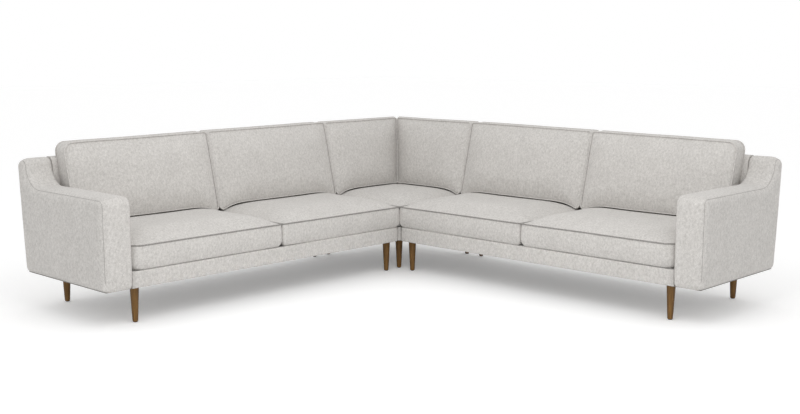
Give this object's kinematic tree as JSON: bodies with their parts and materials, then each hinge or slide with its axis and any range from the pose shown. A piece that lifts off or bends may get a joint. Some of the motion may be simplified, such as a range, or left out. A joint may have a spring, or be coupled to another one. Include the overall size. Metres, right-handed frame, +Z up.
{
  "type": "corner sofa",
  "caption": "Corner sofa in bolted modules, with loose boxed seat and back cushions, arms that sweep up into wings, and slim tapered legs.",
  "frame": {"origin": "on the floor, under the centre of the overall box", "axes": "+Z up; the right-hand run lies along the +Y side and its seats face -Y; the left-hand run lies along the -X side and its seats face +X; the outer back corner is at -X +Y"},
  "size_m": [2.7284, 2.7284, 0.8453],
  "materials": {
    "cover_fabric": "matte woven",
    "leg_wood": "satin walnut stain",
    "frame_timber": "raw sawn",
    "frame_board": "raw board",
    "webbing": "matte woven",
    "base_cloth": "matte",
    "steel": "zinc plated",
    "glide_plastic": "matte"
  },
  "bodies": {
    "frame": {"right_arm_cover": "cover_fabric", "right_back_cover": "cover_fabric", "right_front_apron": "cover_fabric", "left_arm_cover": "cover_fabric", "left_back_cover": "cover_fabric", "left_front_apron": "cover_fabric", "right_arm_blocking": "frame_timber", "right_back_posts": "frame_timber", "right_back_rails": "frame_timber", "right_corner_blocks": "frame_timber", "right_cross_bearers": "frame_timber", "right_long_rails": "frame_timber", "left_arm_blocking": "frame_timber", "left_back_posts": "frame_timber", "left_back_rails": "frame_timber", "left_corner_blocks": "frame_timber", "left_cross_bearers": "frame_timber", "left_long_rails": "frame_timber", "right_arm_panels": "frame_board", "right_seat_deck": "frame_board", "left_arm_panels": "frame_board", "left_seat_deck": "frame_board", "right_webbing_cross": "webbing", "right_webbing_long": "webbing", "left_webbing_cross": "webbing", "left_webbing_long": "webbing", "right_dust_cover": "base_cloth", "left_dust_cover": "base_cloth", "right_joining_plate": "steel", "left_joining_plate": "steel", "corner_back_cover_left": "cover_fabric", "corner_back_cover_right": "cover_fabric", "corner_front_apron": "cover_fabric", "corner_back_posts": "frame_timber", "corner_back_rails": "frame_timber", "corner_leg_block": "frame_timber", "corner_seat_rails": "frame_timber", "corner_seat_deck": "frame_board", "corner_webbing_cross": "webbing", "corner_webbing_long": "webbing", "corner_dust_cover": "base_cloth", "legs": "leg_wood", "leg_glides": "glide_plastic", "leg_bolts": "steel", "joining_screws": "steel"},
    "right_inner_seat": {"right_seat_cushion_inner": "cover_fabric"},
    "right_end_seat": {"right_seat_cushion_end": "cover_fabric"},
    "left_inner_seat": {"left_seat_cushion_inner": "cover_fabric"},
    "left_end_seat": {"left_seat_cushion_end": "cover_fabric"},
    "corner_seat": {"corner_seat_cushion": "cover_fabric"},
    "right_inner_back": {"right_back_cushion_inner": "cover_fabric"},
    "right_end_back": {"right_back_cushion_end": "cover_fabric"},
    "left_inner_back": {"left_back_cushion_inner": "cover_fabric"},
    "left_end_back": {"left_back_cushion_end": "cover_fabric"},
    "corner_right_back": {"corner_back_cushion_right": "cover_fabric"},
    "corner_left_back": {"corner_back_cushion_left": "cover_fabric"}
  },
  "joints": [
    {"name": "right_inner_seat_lift", "type": "slide", "parent": "frame", "child": "right_inner_seat", "axis": [0, 0, 1], "range_m": [0, 0.3]},
    {"name": "right_end_seat_lift", "type": "slide", "parent": "frame", "child": "right_end_seat", "axis": [0, 0, 1], "range_m": [0, 0.3]},
    {"name": "left_inner_seat_lift", "type": "slide", "parent": "frame", "child": "left_inner_seat", "axis": [0, 0, 1], "range_m": [0, 0.3]},
    {"name": "left_end_seat_lift", "type": "slide", "parent": "frame", "child": "left_end_seat", "axis": [0, 0, 1], "range_m": [0, 0.3]},
    {"name": "corner_seat_lift", "type": "slide", "parent": "frame", "child": "corner_seat", "axis": [0, 0, 1], "range_m": [0, 0.3]},
    {"name": "right_inner_back_lift", "type": "slide", "parent": "right_inner_seat", "child": "right_inner_back", "axis": [0, 0, 1], "range_m": [0, 0.5]},
    {"name": "right_end_back_lift", "type": "slide", "parent": "right_end_seat", "child": "right_end_back", "axis": [0, 0, 1], "range_m": [0, 0.5]},
    {"name": "left_inner_back_lift", "type": "slide", "parent": "left_inner_seat", "child": "left_inner_back", "axis": [0, 0, 1], "range_m": [0, 0.5]},
    {"name": "left_end_back_lift", "type": "slide", "parent": "left_end_seat", "child": "left_end_back", "axis": [0, 0, 1], "range_m": [0, 0.5]},
    {"name": "corner_right_back_lift", "type": "slide", "parent": "corner_seat", "child": "corner_right_back", "axis": [0, 0, 1], "range_m": [0, 0.5]},
    {"name": "corner_left_back_lift", "type": "slide", "parent": "corner_seat", "child": "corner_left_back", "axis": [0, 0, 1], "range_m": [0, 0.5]}
  ]
}
